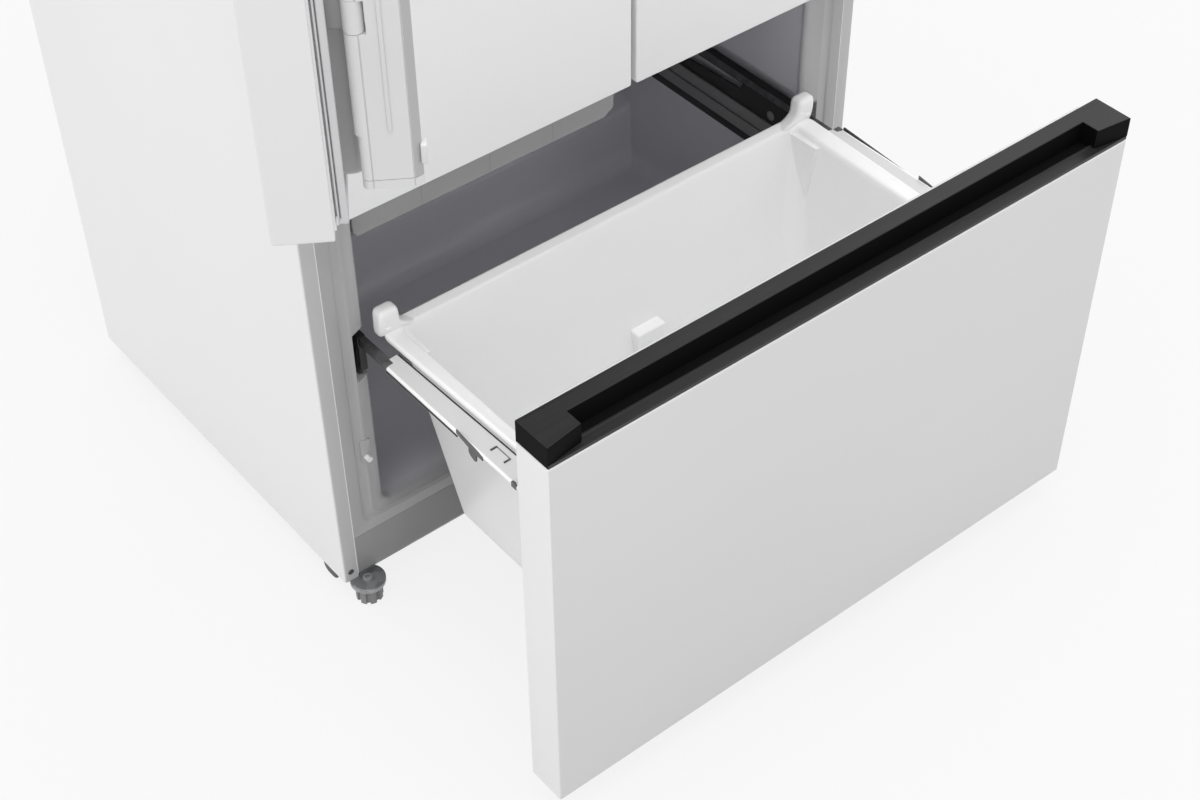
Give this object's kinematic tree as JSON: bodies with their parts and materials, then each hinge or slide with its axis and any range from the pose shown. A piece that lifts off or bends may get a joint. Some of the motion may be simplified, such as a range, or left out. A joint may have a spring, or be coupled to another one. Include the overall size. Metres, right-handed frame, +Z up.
{
  "type": "refrigerator",
  "caption": "Free-standing French-door refrigerator with side-by-side middle drawers and a pull-out bottom freezer drawer with a dark recessed handle.",
  "frame": {"origin": "on the floor under the middle of the cabinet's footprint", "axes": "+X to the viewer's right facing the doors, +Y from the doors to the back, +Z up"},
  "size_m": [1.1506, 1.14, 1.779],
  "materials": {
    "white_paint": "satin white powder coat",
    "zinc_sheet": "zinc-plated sheet",
    "white_plastic": "white moulded plastic",
    "grey_plastic": "grey moulded plastic",
    "black_trim": "black brushed and lacquered",
    "black_steel": "black paint",
    "slide_steel": "plain steel",
    "white_steel": "white paint",
    "foam": "poured insulating foam",
    "fin_aluminium": "fins",
    "seal_rubber": "soft vinyl seal",
    "clear_glass": "tempered pane",
    "clear_plastic": "clear moulded plastic"
  },
  "bodies": {
    "cabinet": {"base_pan": "zinc_sheet", "cabinet_foam": "foam", "compressor": "black_steel", "evaporator": "fin_aluminium", "evaporator_cover": "white_plastic", "freezer_liner": "white_plastic", "fridge_liner": "white_plastic", "ice_maker": "white_plastic", "kick_plate": "grey_plastic", "left_centre_hinge": "zinc_sheet", "left_foot_bracket": "zinc_sheet", "left_side_panel": "white_paint", "left_slide_outer": "black_steel", "left_top_hinge": "zinc_sheet", "lower_shelf": "clear_glass", "machine_cover": "zinc_sheet", "pantry_liner": "white_plastic", "rear_panel": "zinc_sheet", "right_centre_hinge": "zinc_sheet", "right_foot_bracket": "zinc_sheet", "right_side_panel": "white_paint", "right_slide_outer": "black_steel", "right_top_hinge": "zinc_sheet", "switch_housing": "white_plastic", "top_cover": "white_plastic", "top_panel": "white_paint", "upper_shelf": "clear_glass"},
    "freezer_drawer": {"freezer_front": "white_paint", "freezer_core": "white_plastic", "freezer_gasket": "seal_rubber", "freezer_handle": "black_trim", "freezer_tub": "white_plastic", "left_slide_inner": "white_steel", "right_slide_inner": "white_steel"},
    "left_slide": {"left_slide_middle": "slide_steel"},
    "right_slide": {"right_slide_middle": "slide_steel"},
    "left_door": {"left_door_skin": "white_paint", "left_door_liner": "white_plastic", "left_door_gasket": "seal_rubber", "left_door_bin": "clear_plastic"},
    "folding_bar": {"flipper": "white_plastic"},
    "right_door": {"right_door_skin": "white_paint", "right_door_liner": "white_plastic", "right_door_gasket": "seal_rubber", "right_door_bin": "clear_plastic"},
    "left_pantry": {"left_pantry_front": "white_paint", "left_pantry_handle": "black_trim", "left_pantry_gasket": "seal_rubber", "left_pantry_box": "clear_plastic"},
    "right_pantry": {"right_pantry_front": "white_paint", "right_pantry_handle": "black_trim", "right_pantry_gasket": "seal_rubber", "right_pantry_box": "clear_plastic"},
    "left_levelling_foot": {"left_foot": "grey_plastic"},
    "right_levelling_foot": {"right_foot": "grey_plastic"},
    "left_wheel": {"left_front_roller": "grey_plastic"},
    "right_wheel": {"right_front_roller": "grey_plastic"},
    "rear_wheels": {"rear_rollers": "grey_plastic"},
    "drawer_switch": {"switch_plunger": "white_plastic"},
    "fan": {"freezer_fan": "grey_plastic"}
  },
  "joints": [
    {"name": "freezer_pull", "type": "slide", "parent": "cabinet", "child": "freezer_drawer", "axis": [0, -1, 0], "range_m": [-0.408, 0.042]},
    {"name": "left_slide_travel", "type": "slide", "parent": "cabinet", "child": "left_slide", "axis": [0, -1, 0], "range_m": [-0.204, 0.021]},
    {"name": "right_slide_travel", "type": "slide", "parent": "cabinet", "child": "right_slide", "axis": [0, -1, 0], "range_m": [-0.204, 0.021]},
    {"name": "left_door_hinge", "type": "hinge", "parent": "cabinet", "child": "left_door", "pos_m": [-0.444, -0.3833, 1.01], "axis": [0, 0, -1], "range_deg": [-122.7, 7.3]},
    {"name": "folding_bar_hinge", "type": "hinge", "parent": "left_door", "child": "folding_bar", "pos_m": [-0.60652, -0.77213, 1.225], "axis": [0, 0, -1], "range_deg": [0, 90]},
    {"name": "right_door_hinge", "type": "hinge", "parent": "cabinet", "child": "right_door", "pos_m": [0.444, -0.3833, 1.01], "axis": [0, 0, 1], "range_deg": [0, 130]},
    {"name": "left_pantry_pull", "type": "slide", "parent": "cabinet", "child": "left_pantry", "axis": [0, -1, 0], "range_m": [0, 0.33]},
    {"name": "right_pantry_pull", "type": "slide", "parent": "cabinet", "child": "right_pantry", "axis": [0, -1, 0], "range_m": [0, 0.33]},
    {"name": "left_foot_turn", "type": "hinge", "parent": "cabinet", "child": "left_levelling_foot", "pos_m": [-0.424, -0.341, 0.02], "axis": [0, 0, 1], "continuous": true},
    {"name": "right_foot_turn", "type": "hinge", "parent": "cabinet", "child": "right_levelling_foot", "pos_m": [0.424, -0.341, 0.02], "axis": [0, 0, 1], "continuous": true},
    {"name": "left_wheel_turn", "type": "hinge", "parent": "cabinet", "child": "left_wheel", "pos_m": [-0.426, -0.256, 0.0176], "axis": [1, 0, 0], "continuous": true},
    {"name": "right_wheel_turn", "type": "hinge", "parent": "cabinet", "child": "right_wheel", "pos_m": [0.426, -0.256, 0.0176], "axis": [1, 0, 0], "continuous": true},
    {"name": "rear_wheel_turn", "type": "hinge", "parent": "cabinet", "child": "rear_wheels", "pos_m": [0, 0.284, 0.017], "axis": [1, 0, 0], "continuous": true},
    {"name": "switch_press", "type": "slide", "parent": "cabinet", "child": "drawer_switch", "axis": [0, 1, 0], "range_m": [0, 0.006], "stiffness_N_per_m": 120},
    {"name": "fan_spin", "type": "hinge", "parent": "cabinet", "child": "fan", "pos_m": [0, 0.202, 0.545], "axis": [0, 1, 0], "continuous": true}
  ],
  "couplings": [
    {"joint": "left_slide_travel", "follows": "freezer_pull", "ratio": 0.5},
    {"joint": "right_slide_travel", "follows": "freezer_pull", "ratio": 0.5}
  ]
}
